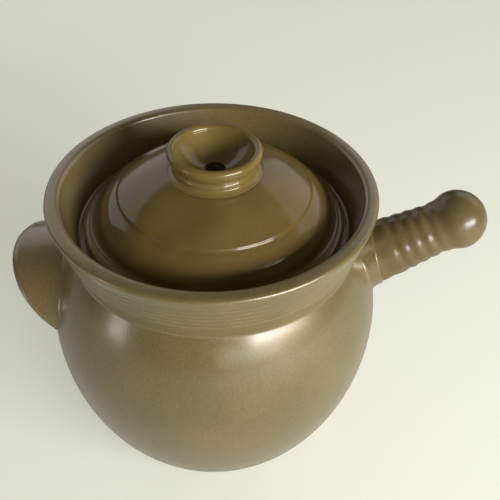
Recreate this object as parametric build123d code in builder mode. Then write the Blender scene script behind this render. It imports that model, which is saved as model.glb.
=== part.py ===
from build123d import *
from math import cos, radians, sin, sqrt, tan
import os

os.makedirs("parts", exist_ok=True)

# Lidded stoneware casserole with one long ribbed handle and one small ear.
# All sizes are in millimetres. The pot's axis is Z, its foot stands on Z = 0,
# the long handle points along +X and the ear along -X.

# Thrown body, outside: each level is a rise above the one under it
foot_radius = 70.0
foot_ring_width = 11.0
foot_recess_depth = 1.6
foot_recess_slope = 2.0
heel_height = 22.0
belly_radius = 119.0
belly_height = 116.0
belly_curve_radius = 178.0
neck_inset = 20.8
neck_rise = 67.4
neck_fillet = 3.0

# Grooved collar band and lip
band_flare_width = 12.2
band_height = 41.5
lip_width = 10.1
lip_outer_fillet = 2.6
lip_inner_fillet = 3.2
groove_count = 5
groove_first_drop = 10.6
groove_last_rise = 12.5
groove_width = 2.6
groove_depth = 0.6

# Body, inside: gallery that carries the lid, then the hollow. The lid is thrown to the same wall
wall_thickness = 8.5
floor_thickness = 9.5
mouth_depth = 30.9
mouth_taper_width = 6.7
gallery_width = 9.6
gallery_fillet = 3.0
throat_length = 10.0
throat_chamfer = 1.6
inner_heel_rise = 4.0
inner_floor_inset = 8.0

# Lid
lid_side_gap = 4.8
lid_seat_gap = 0.3
lid_flange_thickness = 6.7
lid_flange_width = 6.0
lid_flange_crown = 0.9
lid_edge_fillet = 2.6
lid_foot_chamfer = 0.8
lid_groove_width = 2.4
lid_groove_depth = 0.6
lid_band_rise = 20.0
lid_band_bulge = 3.4
lid_step_radius = 64.0
lid_step_drop = 1.8
lid_step_lean = 0.4
lid_step_chamfer = 0.8
lid_dome_rise = 13.2
lid_dome_bulge = 1.6
lid_spigot_clearance = 2.5
lid_spigot_depth = 7.0
lid_spigot_width = 6.5
lid_spigot_chamfer = 1.5

# Knob, thrown hollow like a small funnel
knob_base_radius = 31.0
knob_bead_foot_radius = 27.3
knob_bead_foot_rise = 2.4
knob_bead_bulge = 0.9
knob_groove_radius = 26.3
knob_groove_rise = 6.9
knob_lip_radius = 30.6
knob_lip_rise = 14.9
knob_lip_width = 5.8
knob_funnel_depth = 13.0
knob_funnel_bulge = 2.6
vent_radius = 6.5

# Long handle: its axis starts on the pot's axis, below the belly's widest level, and rises outwards
handle_aim_drop = 18.5
handle_tilt = 30.8
collar_root_depth = 23.5
collar_length = 8.0
collar_face_lean = 13.0
collar_radius = 23.0
collar_flare_width = 11.0
collar_flare_hollow = 2.6
collar_edge_chamfer = 1.0
grip_root_inset = 1.1
grip_waist_length = 6.0
grip_waist_depth = 0.7
rib_start_length = 18.1
rib_start_depth = 1.85
rib_extra_depth = 0.82
rib_pitch = 8.65
rib_count = 4
rib_height = 1.5
bulb_neck_length = 9.0
bulb_neck_radius = 19.2
bulb_shoulder_length = 8.5
bulb_radius = 21.2

# Ear: an awning of clay over the fingers, arched round the shoulder and cut back towards its feet
ear_root_depth = 32.1
ear_spring_rise = 20.7
ear_half_width = 54.0
ear_arch_rise = 42.0
ear_leg_drop = 30.0
ear_length = 75.0
ear_draft = 7.0
ear_wall = 12.5
ear_foot_depth = 5.6
ear_cut_angle = 44.0
ear_edge_fillet = 4.0
half_turn = 180.0


def arc_radius_at(start_radius, curve_radius, drop):
    """Radius reached by an arc that leaves the vertical at start_radius."""
    return start_radius - curve_radius + sqrt(curve_radius**2 - drop**2)


def bowed_arc(start, end, bow):
    """Arc between two points that stands off its chord by bow, to the left of the way it runs."""
    run = Vector(*end) - Vector(*start)
    middle = (Vector(*start) + Vector(*end)) / 2
    left = Vector(-run.Y, run.X).normalized()
    return ThreePointArc(start, middle + left * bow, end)


def round_corner(section, corner, radius):
    """Round the corner of a section that lies nearest to a point."""
    fillet(section.vertices().sort_by_distance(corner)[0], radius)


def bevel_corner(section, corner, length):
    """Bevel the corner of a section that lies nearest to a point."""
    chamfer(section.vertices().sort_by_distance(corner)[0], length)


# Solid outer form of the body: foot, belly, shoulder, grooved band and lip
band_foot_radius = belly_radius - neck_inset
band_foot_height = belly_height + neck_rise
rim_radius = band_foot_radius + band_flare_width
rim_height = band_foot_height + band_height
heel_radius = arc_radius_at(belly_radius, belly_curve_radius, belly_height - heel_height)
ring_inner_radius = foot_radius - foot_ring_width
recess_radius = ring_inner_radius - foot_recess_slope
lip_inner_radius = rim_radius - lip_width
band_flare = band_flare_width / band_height
groove_pitch = (band_height - groove_first_drop - groove_last_rise) / (groove_count - 1)


def band_point(drop, depth=0):
    """Point on the band at a drop below the rim, sunk into it by depth."""
    return (rim_radius - drop * band_flare - depth, rim_height - drop)


groove_points = []
for index in range(groove_count):
    middle_drop = groove_first_drop + index * groove_pitch
    groove_points.append(band_point(middle_drop - groove_width / 2))
    groove_points.append(band_point(middle_drop, groove_depth))
    groove_points.append(band_point(middle_drop + groove_width / 2))

with BuildPart() as outer_form:
    with BuildSketch(Plane.XZ) as outline:
        with BuildLine():
            belly = TangentArc((belly_radius, belly_height), (heel_radius, heel_height), tangent=(0, -1))
            heel = TangentArc(belly @ 1, (foot_radius, 0), tangent=belly % 1)
            upper = Polyline(
                heel @ 1,
                (ring_inner_radius, 0),
                (recess_radius, foot_recess_depth),
                (0, foot_recess_depth),
                (0, rim_height),
                (rim_radius, rim_height),
                *groove_points,
                (band_foot_radius, band_foot_height),
            )
            TangentArc(belly @ 0, upper @ 1, tangent=(0, 1))
        make_face()
        round_corner(outline, (rim_radius, rim_height), lip_outer_fillet)
        round_corner(outline, (band_foot_radius, band_foot_height), neck_fillet)
    revolve(axis=Axis.Z)

# Body: the outer form hollowed from the lip to the floor, with a flat gallery for the lid
gallery_height = rim_height - mouth_depth
gallery_radius = lip_inner_radius - mouth_taper_width
throat_radius = gallery_radius - gallery_width
inner_heel_height = heel_height + inner_heel_rise
inner_floor_radius = foot_radius - inner_floor_inset
inner_belly_radius = belly_radius - wall_thickness
inner_curve_radius = belly_curve_radius - wall_thickness
inner_heel_radius = arc_radius_at(inner_belly_radius, inner_curve_radius, belly_height - inner_heel_height)

with BuildPart() as pot_body:
    add(outer_form.part)
    with BuildSketch(Plane.XZ) as hollow:
        with BuildLine():
            inner_belly = TangentArc(
                (inner_belly_radius, belly_height), (inner_heel_radius, inner_heel_height), tangent=(0, -1)
            )
            inner_heel = TangentArc(
                inner_belly @ 1, (inner_floor_radius, floor_thickness), tangent=inner_belly % 1
            )
            mouth = Polyline(
                inner_heel @ 1,
                (0, floor_thickness),
                (0, rim_height),
                (lip_inner_radius, rim_height),
                (gallery_radius, gallery_height),
                (throat_radius, gallery_height),
                (throat_radius, gallery_height - throat_length),
            )
            TangentArc(inner_belly @ 0, mouth @ 1, tangent=(0, 1))
        make_face()
        round_corner(hollow, (gallery_radius, gallery_height), gallery_fillet)
        bevel_corner(hollow, (throat_radius, gallery_height), throat_chamfer)
    revolve(axis=Axis.Z, mode=Mode.SUBTRACT)
    fillet(pot_body.edges().group_by(Axis.Z)[-1].sort_by(SortBy.RADIUS)[0], lip_inner_fillet)

pot_body.part.label = "pot_body"
export_step(pot_body.part, "parts/pot_body.step")

# Lid: its flange lies on the gallery and the spigot under it keeps it centred
lid_radius = gallery_radius - lid_side_gap
lid_foot_height = gallery_height + lid_seat_gap
flange_top = lid_foot_height + lid_flange_thickness
step_foot_height = flange_top + lid_band_rise
step_height = step_foot_height + lid_step_drop
lid_top_height = step_height + lid_dome_rise
lid_under_height = lid_top_height - wall_thickness
flange_inner_radius = lid_radius - lid_flange_width
band_outer_radius = flange_inner_radius - lid_groove_width
groove_bottom = (flange_inner_radius - lid_groove_width / 2, flange_top - lid_groove_depth)
step_foot_radius = lid_step_radius + lid_step_lean
band_run = band_outer_radius - step_foot_radius
wall_share = wall_thickness / sqrt(band_run**2 + lid_band_rise**2)
wall_inwards = lid_band_rise * wall_share
wall_downwards = band_run * wall_share
under_band_foot = (band_outer_radius - wall_inwards, flange_top - wall_downwards)
under_band_top = (step_foot_radius - wall_inwards, step_foot_height - wall_downwards)
spigot_radius = throat_radius - lid_spigot_clearance
spigot_inner_radius = spigot_radius - lid_spigot_width
spigot_foot = lid_foot_height - lid_spigot_depth

with BuildPart() as lid:
    with BuildSketch(Plane.XZ) as lid_section:
        with BuildLine():
            Line((vent_radius, lid_top_height), (knob_base_radius, lid_top_height))
            bowed_arc((knob_base_radius, lid_top_height), (lid_step_radius, step_height), lid_dome_bulge)
            Line((lid_step_radius, step_height), (step_foot_radius, step_foot_height))
            bowed_arc((step_foot_radius, step_foot_height), (band_outer_radius, flange_top), lid_band_bulge)
            Polyline((band_outer_radius, flange_top), groove_bottom, (flange_inner_radius, flange_top))
            bowed_arc((flange_inner_radius, flange_top), (lid_radius, flange_top), lid_flange_crown)
            Polyline(
                (lid_radius, flange_top),
                (lid_radius, lid_foot_height),
                (spigot_radius, lid_foot_height),
                (spigot_radius, spigot_foot),
                (spigot_inner_radius, spigot_foot),
                (spigot_inner_radius, lid_foot_height),
                under_band_foot,
            )
            bowed_arc(under_band_foot, under_band_top, -lid_band_bulge)
            bowed_arc(under_band_top, (knob_base_radius, lid_under_height), -lid_dome_bulge)
            Polyline(
                (knob_base_radius, lid_under_height),
                (vent_radius, lid_under_height),
                (vent_radius, lid_top_height),
            )
        make_face()
        round_corner(lid_section, (lid_radius, flange_top), lid_edge_fillet)
        bevel_corner(lid_section, (lid_radius, lid_foot_height), lid_foot_chamfer)
        bevel_corner(lid_section, (lid_step_radius, step_height), lid_step_chamfer)
        bevel_corner(lid_section, (spigot_radius, spigot_foot), lid_spigot_chamfer)
        bevel_corner(lid_section, (spigot_inner_radius, spigot_foot), lid_spigot_chamfer)
    revolve(axis=Axis.Z)

lid.part.label = "lid"
export_step(lid.part, "parts/lid.step")

# Knob: a spool with a thick rounded lip, a bead under it and a funnel down to the vent
knob_lip_height = lid_top_height + knob_lip_rise
knob_lip_round = knob_lip_width / 2
knob_crest_radius = knob_lip_radius - knob_lip_round
funnel_rim = (knob_lip_radius - knob_lip_width, knob_lip_height)
funnel_foot = (vent_radius, knob_lip_height - knob_funnel_depth)
knob_base = (knob_base_radius, lid_top_height)
knob_bead_foot = (knob_bead_foot_radius, lid_top_height + knob_bead_foot_rise)
knob_groove = (knob_groove_radius, lid_top_height + knob_groove_rise)
knob_lip = (knob_lip_radius, knob_lip_height)

with BuildPart() as lid_knob:
    with BuildSketch(Plane.XZ):
        with BuildLine():
            TangentArc(knob_base, knob_bead_foot, tangent=(-1, 0))
            bowed_arc(knob_bead_foot, knob_groove, -knob_bead_bulge)
            TangentArc(knob_lip, knob_groove, tangent=(0, -1))
            ThreePointArc(knob_lip, (knob_crest_radius, knob_lip_height + knob_lip_round), funnel_rim)
            bowed_arc(funnel_rim, funnel_foot, knob_funnel_bulge)
            Polyline(funnel_foot, (vent_radius, lid_top_height), knob_base)
        make_face()
    revolve(axis=Axis.Z)

lid_knob.part.label = "lid_knob"
export_step(lid_knob.part, "parts/lid_knob.step")

# The shoulder is an arc that leaves the belly's widest level upright and ends at the neck
shoulder_curve_radius = (neck_inset**2 + neck_rise**2) / (2 * neck_inset)
shoulder_centre_radius = belly_radius - shoulder_curve_radius

# Luting collar: a flared ring of clay that joins the handle to the shoulder, where their surfaces meet
handle_rise = radians(handle_tilt)
handle_aim_height = belly_height - handle_aim_drop
seat_middle = shoulder_centre_radius * cos(handle_rise) + handle_aim_drop * sin(handle_rise)
seat_offset = shoulder_centre_radius * sin(handle_rise) - handle_aim_drop * cos(handle_rise)
handle_seat_reach = seat_middle + sqrt(shoulder_curve_radius**2 - seat_offset**2)
collar_root_reach = handle_seat_reach - collar_root_depth
collar_root_radius = collar_radius + collar_flare_width
collar_reach = handle_seat_reach + collar_length
handle_plane = Plane(
    origin=(0, 0, handle_aim_height), x_dir=(cos(handle_rise), 0, sin(handle_rise)), z_dir=(0, -1, 0)
)
handle_axis = Axis(handle_plane.origin, handle_plane.x_dir)

# The collar ends and the grip starts on one flat face that leans back from square towards the belly
face_way = radians(handle_tilt - collar_face_lean)
face_run = collar_radius * tan(radians(collar_face_lean))
collar_face = Plane(
    origin=handle_plane.origin + handle_plane.x_dir * collar_reach,
    x_dir=(0, 1, 0),
    z_dir=(cos(face_way), 0, sin(face_way)),
)

collar_root = (collar_root_reach, collar_root_radius)
collar_shoulder = (collar_reach - face_run, collar_radius)

with BuildPart() as handle_collar:
    with BuildSketch(handle_plane):
        with BuildLine():
            flare = bowed_arc(collar_root, collar_shoulder, -collar_flare_hollow)
            Polyline(
                flare @ 1,
                (collar_reach + 2 * face_run, collar_radius),
                (collar_reach + 2 * face_run, 0),
                (collar_root_reach, 0),
                flare @ 0,
            )
        make_face()
    revolve(axis=handle_axis)
    split(bisect_by=collar_face, keep=Keep.BOTTOM)
    chamfer(handle_collar.faces().filter_by(collar_face).edges(), collar_edge_chamfer)
    add(outer_form.part, mode=Mode.SUBTRACT)

handle_collar.part.label = "handle_collar"
export_step(handle_collar.part, "parts/handle_collar.step")

# Grip: ribs that swell between narrowing valleys, then the round bulb
grip_root_radius = collar_radius - grip_root_inset
grip_points = [
    (collar_reach, grip_root_radius),
    (collar_reach + grip_waist_length, grip_root_radius - grip_waist_depth),
]
valley_reach = collar_reach + rib_start_length
valley_radius = grip_root_radius - rib_start_depth
for index in range(rib_count):
    grip_points.append((valley_reach - rib_pitch / 2, valley_radius + rib_height))
    grip_points.append((valley_reach, valley_radius))
    valley_reach = valley_reach + rib_pitch
    valley_radius = valley_radius - rib_extra_depth
bulb_neck_reach = valley_reach - rib_pitch + bulb_neck_length
bulb_reach = bulb_neck_reach + bulb_shoulder_length
grip_points.append((bulb_neck_reach, bulb_neck_radius))
grip_points.append((bulb_reach, bulb_radius))

with BuildPart() as long_handle:
    with BuildSketch(handle_plane):
        with BuildLine():
            ribs = Spline(*grip_points, tangents=[(1, 0), (1, 0)])
            cap = TangentArc(ribs @ 1, (bulb_reach + bulb_radius, 0), tangent=ribs % 1)
            grip_root_reach = collar_reach - 2 * face_run
            Polyline(cap @ 1, (grip_root_reach, 0), (grip_root_reach, grip_root_radius), ribs @ 0)
        make_face()
    revolve(axis=handle_axis)
    split(bisect_by=collar_face, keep=Keep.TOP)

long_handle.part.label = "long_handle"
export_step(long_handle.part, "parts/long_handle.step")

# Ear: a tapering arch hollowed by a smaller one, cut off along a slant that rises outwards
ear_spring_height = belly_height + ear_spring_rise
ear_seat_reach = arc_radius_at(belly_radius, shoulder_curve_radius, ear_spring_rise)
ear_root_reach = ear_seat_reach - ear_root_depth
ear_foot_reach = ear_seat_reach - ear_foot_depth
ear_arch_plane = Plane(origin=(-ear_root_reach, 0, ear_spring_height), x_dir=(0, -1, 0), z_dir=(-1, 0, 0))
ear_cut_lean = radians(ear_cut_angle)
ear_cut_plane = Plane(
    origin=(-ear_foot_reach, 0, ear_spring_height),
    x_dir=(0, 1, 0),
    z_dir=(sin(ear_cut_lean), 0, cos(ear_cut_lean)),
)

with BuildPart() as ear_lug:
    for inset, mode in ((0, Mode.ADD), (ear_wall, Mode.SUBTRACT)):
        with BuildSketch(ear_arch_plane):
            with BuildLine():
                half_width = ear_half_width - inset
                arch = EllipticalCenterArc((0, 0), half_width, ear_arch_rise - inset, arc_size=half_turn)
                Polyline(arch @ 1, (-half_width, -ear_leg_drop), (half_width, -ear_leg_drop), arch @ 0)
            make_face()
        extrude(amount=ear_length, taper=ear_draft, mode=mode)
    split(bisect_by=ear_cut_plane, keep=Keep.TOP)
    rim_edges = ear_lug.faces().filter_by(ear_cut_plane).edges()
    fillet(rim_edges.filter_by(Axis.Y, reverse=True), ear_edge_fillet)
    add(outer_form.part, mode=Mode.SUBTRACT)

ear_lug.part.label = "ear_lug"
export_step(ear_lug.part, "parts/ear_lug.step")
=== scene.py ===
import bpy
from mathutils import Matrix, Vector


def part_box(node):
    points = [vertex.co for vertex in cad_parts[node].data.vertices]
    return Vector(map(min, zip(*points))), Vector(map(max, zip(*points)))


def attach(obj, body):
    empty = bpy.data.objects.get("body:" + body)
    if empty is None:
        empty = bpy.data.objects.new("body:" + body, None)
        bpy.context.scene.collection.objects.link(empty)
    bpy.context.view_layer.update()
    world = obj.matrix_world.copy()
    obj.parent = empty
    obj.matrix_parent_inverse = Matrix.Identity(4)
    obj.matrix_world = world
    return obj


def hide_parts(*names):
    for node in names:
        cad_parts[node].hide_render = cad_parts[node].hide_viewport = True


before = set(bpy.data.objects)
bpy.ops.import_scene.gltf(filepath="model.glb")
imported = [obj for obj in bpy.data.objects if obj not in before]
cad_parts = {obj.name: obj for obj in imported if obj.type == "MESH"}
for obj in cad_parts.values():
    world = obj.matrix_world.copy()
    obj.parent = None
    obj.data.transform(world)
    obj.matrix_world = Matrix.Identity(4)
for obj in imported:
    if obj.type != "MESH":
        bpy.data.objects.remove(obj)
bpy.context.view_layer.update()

from math import atan2, cos, hypot, pi, radians, sin, sqrt, tan

import bmesh
import bpy
from mathutils import Matrix, Vector
from mathutils.geometry import interpolate_bezier

# Thrown body
# A round-bellied stoneware pot thrown in one piece, from its trimmed foot ring to a flared band
# with five turned grooves and a rounded lip. Inside the band a flat gallery carries the lid.
pot_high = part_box("pot_body")[1]
foot_radius = 0.070
foot_ring_width = 0.011
foot_recess_depth = 0.0016
heel_radius = 0.0922
heel_height = 0.022
belly_radius = pot_high.x
belly_height = 0.116
band_foot_radius = 0.0982
band_foot_height = 0.1834
rim_radius = 0.1104
rim_height = pot_high.z
lip_width = 0.0101
heel_bow = 0.0018
belly_bow = 0.0068
shoulder_bow = 0.0053
foot_edge_round = 0.0022
foot_inner_round = foot_edge_round / 4
neck_round = 0.003
lip_outer_round = 0.0026
lip_inner_round = 0.0032
lip_crown = 0.0004
groove_count = 5
groove_pitch = 0.0046
groove_first_drop = 0.0106
groove_half_width = 0.0013
groove_depth = 0.0006
groove_edge_round = 0.0024
groove_floor_round = 0.0012
gallery_radius = 0.0936
gallery_height = 0.194
gallery_round = 0.003
throat_radius = 0.084
throat_foot_height = 0.184
throat_round = 0.0022
inner_belly_radius = 0.1105
inner_shoulder_bow = 0.0069
inner_belly_bow = 0.0066
inner_heel_radius = 0.0847
inner_heel_height = 0.026
inner_heel_bow = 0.0027
inner_floor_radius = 0.062
floor_height = 0.0095
floor_round = 0.012


def arc_point(start, end, bow, share):
    """Point at a share of an arc whose middle stands out by bow to the right of its chord."""
    if not bow:
        return start.lerp(end, share)
    chord = end - start
    right = Vector((chord.y, -chord.x)).normalized()
    half = chord.length / 2
    radius = (half * half + bow * bow) / (2 * bow)
    angle = 2 * atan2(bow, half) * (2 * share - 1)
    along = chord.normalized() * radius * sin(angle)
    return start.lerp(end, 0.5) + right * (bow - radius + radius * cos(angle)) + along


def round_points(before, corner, after, steps=8):
    """Points of the circular arc that rounds a corner off, between two points as far from it."""
    opening = (before - corner).angle(after - corner)
    weight = 2 * sin(opening / 2)
    points = []
    for step in range(1, steps):
        share = step / steps
        pull = weight * share * (1 - share)
        total = (1 - share) ** 2 + pull + share ** 2
        points.append((before * (1 - share) ** 2 + corner * pull + after * share ** 2) / total)
    return points


def outline(corners, closed=False, arc_step=0.003, near_share=0.02):
    """Points of an outline, from corners of (across, up, radius of the round, bow of the next run).

    A corner may leave out its last two. A run's direction at a corner is taken a near share along it.
    """
    count = len(corners)
    spots = [Vector(corner[:2]) for corner in corners]
    rounds = [corner[2] if len(corner) > 2 else 0 for corner in corners]
    bows = [corner[3] if len(corner) > 3 else 0 for corner in corners]
    reaches = [0] * count
    for index in range(1, count if closed else count - 1):
        after = (index + 1) % count
        back = arc_point(spots[index - 1], spots[index], bows[index - 1], 1 - near_share) - spots[index]
        ahead = arc_point(spots[index], spots[after], bows[index], near_share) - spots[index]
        reaches[index] = rounds[index] / tan(back.angle(ahead) / 2)
    points = []
    for index in range(count if closed else count - 1):
        after = (index + 1) % count
        start, end, bow = spots[index], spots[after], bows[index]
        length = (end - start).length
        first, last = reaches[index] / length, 1 - reaches[after] / length
        steps = max(1, round(length / arc_step)) if bow else 1
        shares = [first + (last - first) * step / steps for step in range(steps + 1)]
        run = [arc_point(start, end, bow, share) for share in shares]
        if reaches[index]:
            points += round_points(points[-1], start, run[0])
        points += run
    return points


def finished(name, shape, weld_gap=0.00001):
    """Object of a shape: doubles merged, faces outwards, smooth."""
    bmesh.ops.remove_doubles(shape, verts=shape.verts, dist=weld_gap)
    bmesh.ops.recalc_face_normals(shape, faces=shape.faces)
    mesh = bpy.data.meshes.new(name)
    shape.to_mesh(mesh)
    shape.free()
    mesh.shade_smooth()
    piece = bpy.data.objects.new(name, mesh)
    bpy.context.scene.collection.objects.link(piece)
    return piece


def thrown(points, closed=False, axis=(0, 0, 1), turns=240):
    """Shape of an outline turned all round an axis, as clay is on the wheel."""
    shape = bmesh.new()
    verts = [shape.verts.new((point.x, 0, point.y)) for point in points]
    edges = [shape.edges.new(pair) for pair in zip(verts, verts[1:])]
    if closed:
        edges.append(shape.edges.new((verts[-1], verts[0])))
    bmesh.ops.spin(
        shape, geom=verts + edges, cent=(0, 0, 0), axis=axis, dvec=(0, 0, 0),
        angle=2 * pi, steps=turns, use_merge=True,
    )
    return shape


band_flare = (rim_radius - band_foot_radius) / (rim_height - band_foot_height)


def band_corner(drop, depth, round_radius):
    """Corner on the band at a drop below the rim, sunk into it by depth."""
    return (rim_radius - drop * band_flare - depth, rim_height - drop, round_radius)


grooves = []
for index in reversed(range(groove_count)):
    drop = groove_first_drop + index * groove_pitch
    grooves += [
        band_corner(drop + groove_half_width, 0, groove_edge_round),
        band_corner(drop, groove_depth, groove_floor_round),
        band_corner(drop - groove_half_width, 0, groove_edge_round),
    ]

body = finished("thrown_body", thrown(outline([
    (0, foot_recess_depth),
    (foot_radius - foot_ring_width - foot_recess_depth, foot_recess_depth, foot_edge_round),
    (foot_radius - foot_ring_width, 0, foot_inner_round),
    (foot_radius, 0, foot_edge_round, heel_bow),
    (heel_radius, heel_height, 0, belly_bow),
    (belly_radius, belly_height, 0, shoulder_bow),
    (band_foot_radius, band_foot_height, neck_round),
    *grooves,
    (rim_radius, rim_height, lip_outer_round, lip_crown),
    (rim_radius - lip_width, rim_height, lip_inner_round),
    (gallery_radius, gallery_height, gallery_round),
    (throat_radius, gallery_height, throat_round),
    (throat_radius, throat_foot_height, throat_round, -inner_shoulder_bow),
    (inner_belly_radius, belly_height, 0, -inner_belly_bow),
    (inner_heel_radius, inner_heel_height, 0, -inner_heel_bow),
    (inner_floor_radius, floor_height, floor_round),
    (0, floor_height),
])))
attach(body, "pot")
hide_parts("pot_body")

iron_speck = "3a2c18"
speckless_share = 0.55
bare_brown = "75603f"
worn_width = 0.0015
worn_strength = 0.6
sheen_spread = 0.1
glaze_ior = 1.5


def linear(colour):
    """Linear RGBA of an sRGB hex colour."""
    channels = [int(colour[place:place + 2], 16) / 255 for place in (0, 2, 4)]
    return [
        channel / 12.92 if channel <= 0.04045 else ((channel + 0.055) / 1.055) ** 2.4
        for channel in channels
    ] + [1]


def add(tree, kind, inputs=None, **settings):
    """Add a node with its settings; an input is a number, a colour or an output to link.

    An input whose name comes twice goes by its number. A sum has its two sides at 0 and 1. A mix has
    its share at 0, with two numbers at 2 and 3 or two colours at 6 and 7.
    """
    node = tree.nodes.new("ShaderNode" + kind)
    for name, value in settings.items():
        setattr(node, name, value)
    for name, value in (inputs or {}).items():
        if isinstance(value, bpy.types.NodeSocket):
            tree.links.new(value, node.inputs[name])
        else:
            node.inputs[name].default_value = value
    return node


def worn_edges(tree, place, rings):
    """Mask of the turned edges, given by radius and height, where the glaze has run thin."""
    parts = add(tree, "SeparateXYZ", {"Vector": place}).outputs
    level = add(tree, "CombineXYZ", {"X": parts["X"], "Y": parts["Y"]}).outputs[0]
    across = add(tree, "VectorMath", {0: level}, operation="LENGTH").outputs["Value"]
    section = add(tree, "CombineXYZ", {"X": across, "Y": parts["Z"]}).outputs[0]
    nearest = 1.0  # A metre off, which is far past any worn edge
    for ring in rings:
        apart = add(tree, "VectorMath", {0: section, 1: (*ring, 0)}, operation="DISTANCE").outputs["Value"]
        nearest = add(tree, "Math", {0: nearest, 1: apart}, operation="MINIMUM").outputs[0]
    return add(tree, "MapRange", {
        "Value": nearest, "From Min": 0, "From Max": worn_width, "To Min": worn_strength, "To Max": 0,
    }, interpolation_type="SMOOTHSTEP").outputs[0]


def glaze(
    name, dark, light, roughness, cloud_size, grain, peel, specks, rings=(), mica=0, glass=(0, 0.2),
):
    """Fired glaze: clouds of colour, fine grain, iron specks, faint waves of its melt and worn edges.

    Grain is its size and strength, peel its size and height, specks their spacing, radius and strength,
    mica the share of bright crystals, and glass the weight and roughness of a clearer layer on top.
    """
    grain_size, grain_strength = grain
    wave_size, wave_height = peel
    spacing, speck_radius, speck_strength = specks
    glass_weight, glass_roughness = glass
    material = bpy.data.materials.new(name)
    material.use_nodes = True
    tree = material.node_tree
    shader = tree.nodes["Principled BSDF"]
    place = add(tree, "TexCoord").outputs["Object"]
    clouds = add(tree, "TexNoise", {
        "Vector": place, "Scale": 1 / cloud_size, "Detail": 4, "Roughness": 0.55,
    }).outputs["Fac"]
    tone = add(tree, "MapRange", {"Value": clouds, "From Min": 0.36, "From Max": 0.64})
    colour = add(tree, "Mix", {0: tone.outputs[0], 6: linear(dark), 7: linear(light)}, data_type="RGBA")
    grains = add(tree, "TexNoise", {
        "Vector": place, "Scale": 1 / grain_size, "Detail": 2, "Roughness": 0.6,
    }).outputs["Fac"]
    grain_tone = add(tree, "MapRange", {
        "Value": grains, "From Min": 0.3, "From Max": 0.7,
        "To Min": 1 - grain_strength, "To Max": 1 + grain_strength,
    })
    grained = add(tree, "VectorMath", {
        0: colour.outputs[2], "Scale": grain_tone.outputs[0],
    }, operation="SCALE")
    cells = add(tree, "TexVoronoi", {"Vector": place, "Scale": 1 / spacing, "Randomness": 1})
    spot = add(tree, "MapRange", {
        "Value": cells.outputs["Distance"], "From Min": speck_radius / spacing / 2,
        "From Max": speck_radius / spacing, "To Min": speck_strength, "To Max": 0,
    })
    chance = add(tree, "SeparateColor", {"Color": cells.outputs["Color"]})
    kept = add(tree, "Math", {0: chance.outputs[0], 1: speckless_share}, operation="GREATER_THAN")
    speck = add(tree, "Math", {0: spot.outputs[0], 1: kept.outputs[0]}, operation="MULTIPLY")
    specked = add(tree, "Mix", {
        0: speck.outputs[0], 6: grained.outputs[0], 7: linear(iron_speck),
    }, data_type="RGBA")
    edges = worn_edges(tree, place, rings)
    thinned = add(tree, "Mix", {0: edges, 6: specked.outputs[2], 7: linear(bare_brown)}, data_type="RGBA")
    tree.links.new(thinned.outputs[2], shader.inputs["Base Color"])
    sheen = add(tree, "MapRange", {
        "Value": clouds, "From Min": 0.3, "From Max": 0.7,
        "To Min": roughness * (1 - sheen_spread), "To Max": roughness * (1 + sheen_spread),
    })
    tree.links.new(sheen.outputs[0], shader.inputs["Roughness"])
    shader.inputs["IOR"].default_value = glaze_ior
    shader.inputs["Metallic"].default_value = mica
    shader.inputs["Coat Weight"].default_value = glass_weight
    shader.inputs["Coat Roughness"].default_value = glass_roughness
    waves = add(tree, "TexNoise", {
        "Vector": place, "Scale": 1 / wave_size, "Detail": 2, "Roughness": 0.5,
    }).outputs["Fac"]
    bump = add(tree, "Bump", {"Height": waves, "Distance": wave_height, "Strength": 1})
    tree.links.new(bump.outputs[0], shader.inputs["Normal"])
    return material


# Satin tea-dust glaze: soft broad highlights broken up by fine waves, an even olive brown. The grain
# and specks of all these glazes are drawn a little coarser than real ones, which are too fine to show.
satin_glaze = glaze(
    "satin_tea_dust_glaze", dark="756740", light="836f48", roughness=0.36, cloud_size=0.06,
    grain=(0.0013, 0.16), peel=(0.0014, 0.00004), specks=(0.008, 0.0006, 0.55), mica=0.16, glass=(1, 0.2),
    rings=((rim_radius, rim_height), (rim_radius - lip_width, rim_height)),
)
body.data.materials.append(satin_glaze)

# Lid
# A thrown domed lid with a stepped crown, lying on the gallery inside the band. It is dipped in the
# same olive glaze and fired glossier; its flange and spigot keep it centred.
lid_low, lid_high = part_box("lid")
lid_seat_gap = 0.0003
lid_radius = lid_high.x
lid_foot_height = gallery_height + lid_seat_gap
flange_height = 0.2010
flange_crown = 0.0009
lid_band_radius = 0.0806
lid_band_foot_height = 0.2006
lid_band_bulge = 0.0034
lid_step_foot_radius = 0.0649
lid_step_foot_height = 0.2207
lid_step_radius = 0.0640
lid_step_height = 0.2228
dome_bulge = 0.0016
crown_radius = 0.0310
crown_height = lid_high.z
vent_radius = 0.0065
lid_wall = 0.0085
spigot_radius = 0.0815
spigot_inner_radius = 0.0750
spigot_foot_height = lid_low.z
under_band_radius = 0.0738
under_band_height = 0.1957
under_step_radius = 0.0578
under_step_height = 0.2157
lid_edge_round = 0.0026
lid_band_foot_round = 0.0030
lid_step_foot_round = 0.0030
lid_step_round = 0.0022
lid_under_round = 0.0009

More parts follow.
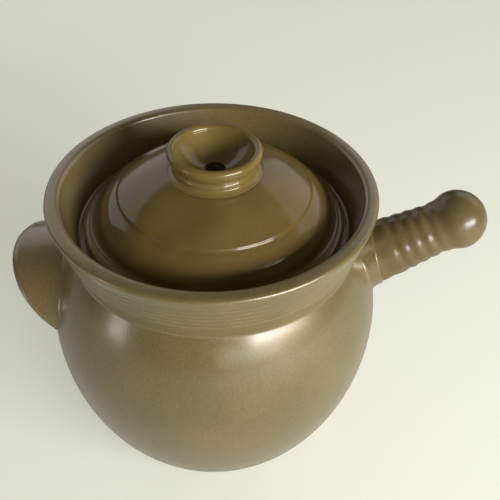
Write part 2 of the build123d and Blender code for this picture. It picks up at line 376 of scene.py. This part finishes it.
lid = finished("thrown_lid", thrown(outline([
    (vent_radius, crown_height - lid_wall),
    (crown_radius, crown_height - lid_wall, lid_under_round, -dome_bulge),
    (under_step_radius, under_step_height, lid_under_round, -lid_band_bulge),
    (under_band_radius, under_band_height, lid_under_round),
    (spigot_inner_radius, lid_foot_height, lid_under_round),
    (spigot_inner_radius, spigot_foot_height, lid_under_round),
    (spigot_radius, spigot_foot_height, lid_under_round),
    (spigot_radius, lid_foot_height, lid_under_round),
    (lid_radius, lid_foot_height, lid_under_round),
    (lid_radius, flange_height, lid_edge_round, flange_crown),
    (lid_band_radius, lid_band_foot_height, lid_band_foot_round, lid_band_bulge),
    (lid_step_foot_radius, lid_step_foot_height, lid_step_foot_round),
    (lid_step_radius, lid_step_height, lid_step_round, dome_bulge),
    (crown_radius, crown_height),
    (vent_radius, crown_height),
], closed=True)))
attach(lid, "lid_assembly")
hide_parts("lid")

# Glossy olive glaze: the same glaze fired glassy, with crisp reflections and hardly any grain
glossy_glaze = glaze(
    "glossy_olive_glaze", dark="67532a", light="796436", roughness=0.14, cloud_size=0.045,
    grain=(0.0015, 0.04), peel=(0.009, 0.00004), specks=(0.009, 0.0007, 0.7),
)
lid.data.materials.append(glossy_glaze)

# Knob
# A small spool thrown hollow like a funnel and luted to the crown. Its bore runs on down through
# the lid as the steam vent.
knob_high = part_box("lid_knob")[1]
knob_lip_radius = knob_high.x
knob_lip_rise = 0.0149
knob_lip_width = 0.0058
knob_lip_inner_round = 0.0012
knob_foot_hollow = 0.00065
knob_bead_foot_radius = 0.0273
knob_bead_foot_rise = 0.0024
knob_bead_bulge = 0.0009
knob_groove_radius = 0.0263
knob_groove_rise = 0.0069
knob_crease_round = 0.0005
knob_roll_bulge = 0.00114
funnel_foot_rise = 0.0019
funnel_foot_round = 0.0008
funnel_bulge = 0.0026
knob_tuck = 0.001
knob_arc_step = 0.001

knob = finished("funnel_knob", thrown(outline([
    (vent_radius, crown_height - knob_tuck),
    (crown_radius, crown_height - knob_tuck),
    (crown_radius, crown_height, 0, -knob_foot_hollow),
    (knob_bead_foot_radius, crown_height + knob_bead_foot_rise, knob_crease_round, knob_bead_bulge),
    (knob_groove_radius, crown_height + knob_groove_rise, knob_crease_round, knob_roll_bulge),
    (knob_lip_radius, crown_height + knob_lip_rise, 0, knob_lip_width / 2),
    (knob_lip_radius - knob_lip_width, crown_height + knob_lip_rise, knob_lip_inner_round, -funnel_bulge),
    (vent_radius, crown_height + funnel_foot_rise, funnel_foot_round),
], closed=True, arc_step=knob_arc_step)))
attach(knob, "lid_assembly")
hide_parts("lid_knob")

# The lid's olive glaze, painted lighter and a little greener on the knob: painted light for the light and
# reflections the knob catches
knob_painted_light_glaze = glaze(
    "olive_glaze_painted_lighter", dark="756233", light="877341", roughness=0.15, cloud_size=0.03,
    grain=(0.0015, 0.04), peel=(0.009, 0.00004), specks=(0.009, 0.0007, 0.7),
)
knob.data.materials.append(knob_painted_light_glaze)

# Long handle
# A solid stoneware grip pressed in a mould, with finger ribs between narrowing valleys and a round
# bulb at the end. It is glazed smoother than the belly.
handle_aim_height = 0.0975
handle_tilt = radians(30.8)
handle_turns = 160
collar_reach = 0.1355
collar_face_lean = radians(13)
collar_radius = 0.0230
grip_root_reach = 0.1290
grip_root_radius = 0.0219
grip_shoulder_reach = 0.1415
grip_shoulder_radius = 0.0212
rib_first_reach = 0.1536
rib_pitch = 0.00865
rib_count = 4
rib_first_valley_radius = 0.02025
rib_extra_depth = 0.00082
rib_height = 0.0011
grip_neck_reach = 0.1836
grip_neck_radius = 0.01855
bulb_foot_reach = 0.1875
bulb_foot_radius = 0.01875
bulb_reach = 0.1970
bulb_radius = 0.0212
bulb_steps = 16
grip_steps = 8

grip = [(collar_reach, grip_root_radius), (grip_shoulder_reach, grip_shoulder_radius)]
for index in range(rib_count):
    reach = rib_first_reach + index * rib_pitch
    radius = rib_first_valley_radius - index * rib_extra_depth
    grip += [(reach - rib_pitch / 2, radius + rib_height), (reach, radius)]
grip += [
    (grip_neck_reach, grip_neck_radius), (bulb_foot_reach, bulb_foot_radius), (bulb_reach, bulb_radius),
]


def smooth_points(points, steps):
    """Points of a smooth curve through the given ones, which runs level at both its ends."""
    level = Vector((1, 0))
    spots = [Vector(point) for point in points]
    ways = [level] + [(after - before).normalized() for before, after in zip(spots, spots[2:])] + [level]
    curve = [spots[0]]
    for start, end, out, into in zip(spots, spots[1:], ways, ways[1:]):
        pull = (end - start).length / 3
        curve += interpolate_bezier(start, start + out * pull, end - into * pull, end, steps)[1:]
    return curve


bulb_points = []
for step in range(1, bulb_steps + 1):
    angle = pi / 2 * step / bulb_steps
    bulb_points.append(Vector((bulb_reach + bulb_radius * sin(angle), bulb_radius * cos(angle))))
root_points = [Vector((grip_root_reach, 0)), Vector((grip_root_reach, grip_root_radius))]
handle_points = root_points + smooth_points(grip, grip_steps) + bulb_points
handle_shape = thrown(handle_points, axis=(1, 0, 0), turns=handle_turns)
handle_place = Matrix.Translation((0, 0, handle_aim_height)) @ Matrix.Rotation(-handle_tilt, 4, "Y")
bmesh.ops.transform(handle_shape, matrix=handle_place, verts=handle_shape.verts)
handle = finished("ribbed_handle", handle_shape)
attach(handle, "pot")
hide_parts("long_handle")

# Semi-gloss olive glaze: a thick even coat that carries small crisp highlights on the ribs
handle_glaze = glaze(
    "semi_gloss_olive_glaze", dark="695937", light="766644", roughness=0.25, cloud_size=0.035,
    grain=(0.0011, 0.05), peel=(0.003, 0.00003), specks=(0.009, 0.0004, 0.5),
)
handle.data.materials.append(handle_glaze)

# Luting collar
# A flared ring of clay that joins the handle to the shoulder. Its foot is smeared onto the belly
# with a wet finger, so it runs out in a small fillet.
collar_root_reach = 0.1040
collar_root_radius = 0.0340
collar_hollow = 0.0026
collar_edge_round = 0.0010
collar_edge_share = 0.06
collar_face_shares = (0, 0.5, 0.9)
collar_fillet = 0.0030
collar_fillet_rise_share = 0.8
collar_shortest_share = 0.08
collar_steps = 96
flare_steps = 8
fillet_steps = 7
edge_steps = 5
meeting_halvings = 30
shoulder_curve = 0.1196
belly_curve = 0.178
toe_sink = 0.0001
tuck_depth = 0.0025
collar_buried_reach = 0.1245


def outside_radius(height):
    """Radius of the body's outside at a height, on its belly and on its shoulder's curve."""
    curve = shoulder_curve if height > belly_height else belly_curve
    return belly_radius - curve + sqrt(curve ** 2 - (height - belly_height) ** 2)


def sunk(point, depth):
    """The point moved level to a depth under the body's outside."""
    scale = (outside_radius(point.z) - depth) / hypot(point.x, point.y)
    return Vector((point.x * scale, point.y * scale, point.z))


def height_over_body(point):
    """How far a point stands out from the body, measured level."""
    return hypot(point.x, point.y) - outside_radius(point.z)


def handle_point(reach, radius, turn):
    """Point in the pot's frame at a reach along the handle's axis and a radius and turn about it."""
    return handle_place @ Vector((reach, radius * sin(turn), radius * cos(turn)))


def face_point(radius, turn):
    """Point on the collar's end face, which leans back towards the belly."""
    return handle_point(collar_reach + radius * cos(turn) * tan(collar_face_lean), radius, turn)


flare_start = Vector((collar_reach - collar_radius * tan(collar_face_lean), collar_radius))
flare_end = Vector((collar_root_reach, collar_root_radius))
flare_length = (flare_end - flare_start).length


def flare_point(share, turn):
    """Point on the collar's hollow flare, at a share of its way down and a turn about the handle."""
    return handle_point(*arc_point(flare_start, flare_end, -collar_hollow, share), turn)


def collar_column(turn):
    """Points down the collar at one turn about the handle, from its end face to under the belly."""
    low, high = 0, 1
    for _ in range(meeting_halvings):
        middle = (low + high) / 2
        if height_over_body(flare_point(middle, turn)) > 0:
            low = middle
        else:
            high = middle
    meet = flare_point(low, turn)
    foot_share = max(low - collar_fillet / flare_length, collar_shortest_share)
    outwards = (handle_point(collar_reach, 1, turn) - handle_point(collar_reach, 0, turn)).normalized()
    toe = sunk(meet + outwards * collar_fillet * collar_fillet_rise_share, toe_sink)
    edge = face_point(collar_radius, turn)
    inner = face_point(collar_radius - collar_edge_round, turn)
    outer = edge + (flare_point(collar_edge_share, turn) - edge).normalized() * collar_edge_round
    column = [face_point(share * collar_radius, turn) for share in collar_face_shares]
    column += [inner] + round_points(inner, edge, outer, edge_steps) + [outer]
    for step in range(flare_steps + 1):
        share = collar_edge_share + (foot_share - collar_edge_share) * step / flare_steps
        column.append(flare_point(share, turn))
    column += round_points(column[-1], meet, toe, fillet_steps) + [toe, sunk(toe, tuck_depth)]
    column.append(handle_point(collar_buried_reach, 0, turn))
    return column


def skinned(sections):
    """Shape of a skin of clay through sections that have as many points each."""
    shape = bmesh.new()
    across, along = len(sections) - 1, len(sections[0]) - 1
    bmesh.ops.create_grid(shape, x_segments=across, y_segments=along, size=1)
    for vert in shape.verts:
        section = sections[round((vert.co.x + 1) / 2 * across)]
        vert.co = section[round((vert.co.y + 1) / 2 * along)]
    return shape


columns = [collar_column(2 * pi * step / collar_steps) for step in range(collar_steps + 1)]
collar = finished("luting_collar", skinned(columns))
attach(collar, "pot")
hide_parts("handle_collar")
collar.data.materials.append(satin_glaze)

# Ear
# A hand-hold of clay arched round the shoulder like an awning, luted on and cut back along a slant
# towards its two feet. Fingers hook under it.
ear_root_reach = 0.0851
ear_spring_height = 0.1367
ear_half_width = 0.0540
ear_arch_rise = 0.0420
ear_draft = tan(radians(7))
ear_wall = 0.0125
ear_foot_reach = 0.1116
ear_cut = tan(radians(44))
ear_edge_round = 0.0040
ear_edge_steps = 9
ear_fillet = 0.0023
ear_under_fillet_rise_share = 0.7
ear_fine_step = 0.0005
ear_fewest_points = 8
ear_leg_step = 0.005
ear_stations = 112
ear_flank_steps = 26
ear_weld_gap = 0.000005


def ear_tongue(station):
    """Section of the ear at a station along its arch: out along its back, round its rim and back in."""
    leg = min(station, 0) + min(pi - station, 0)
    bend = min(max(station, 0), pi)
    side, lift = cos(bend), sin(bend) + leg

    def flank(reach, inset):
        width = ear_half_width - inset - ear_draft * (reach - ear_root_reach)
        rise = ear_arch_rise - inset - ear_draft * (reach - ear_root_reach)
        return Vector((-reach, -width * side, ear_spring_height + rise * lift))

    def rim_reach(inset):
        rise = ear_arch_rise - inset + ear_draft * ear_root_reach
        return (ear_foot_reach * ear_cut + rise * lift) / (ear_cut + ear_draft * lift)

    back_edge, under_edge = flank(rim_reach(0), 0), flank(rim_reach(ear_wall), ear_wall)
    back_root, under_root = flank(ear_root_reach, 0), flank(ear_root_reach, ear_wall)
    points = [back_root]
    for before, edge, after in ((back_root, back_edge, under_edge), (back_edge, under_edge, under_root)):
        back, ahead = (before - edge).normalized(), (after - edge).normalized()
        reach = ear_edge_round / tan(back.angle(ahead) / 2)
        start, end = edge + back * reach, edge + ahead * reach
        points += [start] + round_points(start, edge, end, ear_edge_steps) + [end]
    points.append(under_root)
    outwards = Vector((0, -side / ear_half_width, lift / ear_arch_rise)).normalized()
    return points, outwards


def fine(points):
    """The same line with points close together."""
    close = [points[0]]
    for start, end in zip(points, points[1:]):
        count = max(1, round((end - start).length / ear_fine_step))
        close += [start.lerp(end, place / count) for place in range(1, count + 1)]
    return close


def ear_section(station):
    """Closed section of the ear at a station, with fillets where it meets the body."""
    tongue, outwards = ear_tongue(station)
    close = [point for point in fine(tongue) if height_over_body(point) > 0]
    if len(close) < ear_fewest_points:
        return None
    # Near the feet the section is short, and a fillet takes at most a third of it
    reach = min(round(ear_fillet / ear_fine_step), len(close) // 3)
    size = reach * ear_fine_step
    meet_back, meet_under = close[0], close[-1]
    toe_back = sunk(meet_back + outwards * size, toe_sink)
    toe_under = sunk(meet_under - outwards * size * ear_under_fillet_rise_share, toe_sink)
    between = close[reach:len(close) - reach]
    flank = []
    for step in range(ear_flank_steps + 1):
        flank.append(between[round(step * (len(between) - 1) / ear_flank_steps)])
    back_fillet = round_points(toe_back, meet_back, flank[0], fillet_steps)
    under_fillet = round_points(flank[-1], meet_under, toe_under, fillet_steps)
    buried_back, buried_under = sunk(toe_back, tuck_depth), sunk(toe_under, tuck_depth)
    section = [buried_back, toe_back, *back_fillet, *flank, *under_fillet, toe_under, buried_under]
    return section + [buried_back]


leg_end = 0.0
while ear_section(leg_end - ear_leg_step):
    leg_end -= ear_leg_step
sections = []
for step in range(ear_stations + 1):
    sections.append(ear_section(leg_end + (pi - 2 * leg_end) * step / ear_stations))
ear_shape = skinned(sections)
bmesh.ops.remove_doubles(ear_shape, verts=ear_shape.verts, dist=ear_weld_gap)
bmesh.ops.holes_fill(ear_shape, edges=ear_shape.edges, sides=0)
ear = finished("arched_ear", ear_shape)
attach(ear, "pot")
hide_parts("ear_lug")
ear.data.materials.append(satin_glaze)

# Floor, light and camera
# A wide pale floor under soft windows, a strong one at the front right, weaker ones below it and
# at the left, with pale walls behind, and a camera that looks down on the pot from in front.
floor_half_width = 4
floor_colour = "dfe1d4"
floor_roughness = 0.9
floor_glow = 0.38
backdrop_colour = "e9eddd"
backdrop_strength = 0.9
room_colour = "e6dcc0"
room_strength = 0.16
aim = Vector((0, 0, 0.12))

floor_shape = bmesh.new()
bmesh.ops.create_grid(floor_shape, x_segments=1, y_segments=1, size=floor_half_width)
floor = finished("floor", floor_shape)
floor_material = bpy.data.materials.new("pale_floor")
floor_material.use_nodes = True
floor_tree = floor_material.node_tree
floor_shader = floor_tree.nodes["Principled BSDF"]
floor_shader.inputs["Base Color"].default_value = linear(floor_colour)
floor_shader.inputs["Roughness"].default_value = floor_roughness
floor_shader.inputs["Emission Color"].default_value = linear(backdrop_colour)
floor_seen = add(floor_tree, "LightPath").outputs["Is Camera Ray"]
glow = add(floor_tree, "Math", {0: floor_seen, 1: floor_glow}, operation="MULTIPLY").outputs[0]
floor_tree.links.new(glow, floor_shader.inputs["Emission Strength"])
floor.data.materials.append(floor_material)


def softbox(name, azimuth, elevation, distance, width, height, power):
    """Soft window of light that faces the pot. Azimuth 0 is in front and 90 at the long handle."""
    lamp = bpy.data.lights.new(name, "AREA")
    lamp.shape = "RECTANGLE"
    lamp.size, lamp.size_y = width, height
    lamp.energy = power
    holder = bpy.data.objects.new(name, lamp)
    turn, rise = radians(azimuth), radians(elevation)
    way = Vector((sin(turn) * cos(rise), -cos(turn) * cos(rise), sin(rise)))
    holder.location = aim + way * distance
    holder.rotation_euler = way.to_track_quat("Z", "Y").to_euler()
    bpy.context.scene.collection.objects.link(holder)


softbox("right_window", azimuth=44, elevation=20, distance=1.5, width=1.0, height=0.36, power=24)
softbox("low_window", azimuth=24, elevation=7, distance=1.5, width=1.1, height=0.3, power=2.5)
softbox("left_window", azimuth=-62, elevation=4, distance=1.5, width=0.3, height=0.35, power=1.4)
softbox("back_left_wall", azimuth=-140, elevation=26, distance=1.8, width=1.9, height=1.1, power=5)
softbox("back_right_wall", azimuth=138, elevation=30, distance=1.8, width=1.7, height=1.1, power=4.4)

world = bpy.data.worlds.new("studio")
world.use_nodes = True
bpy.context.scene.world = world
sky_tree = world.node_tree
sky = sky_tree.nodes["Background"]
sky_seen = add(sky_tree, "LightPath").outputs["Is Camera Ray"]
tint = add(sky_tree, "Mix", {
    0: sky_seen, 6: linear(room_colour), 7: linear(backdrop_colour),
}, data_type="RGBA")
strength = add(sky_tree, "Mix", {0: sky_seen, 2: room_strength, 3: backdrop_strength}, data_type="FLOAT")
sky_tree.links.new(tint.outputs[2], sky.inputs["Color"])
sky_tree.links.new(strength.outputs[0], sky.inputs["Strength"])

camera_right = Vector((0.9980, -0.0330, 0.0532))
camera_up = Vector((-0.0196, 0.6424, 0.7662))
camera_back = Vector((-0.0594, -0.7657, 0.6404))
camera_place = Vector((0.0248, -0.3542, 0.4812))
camera_turn = Matrix((camera_right, camera_up, camera_back)).transposed().to_4x4()
camera_data = bpy.data.cameras.new("camera")
camera_data.lens = 46.8
camera_data.shift_x = -0.0812
camera_data.shift_y = -0.0386
camera = bpy.data.objects.new("camera", camera_data)
camera.matrix_world = Matrix.Translation(camera_place) @ camera_turn
bpy.context.scene.collection.objects.link(camera)
bpy.context.scene.camera = camera
bpy.context.scene.view_settings.view_transform = "Standard"
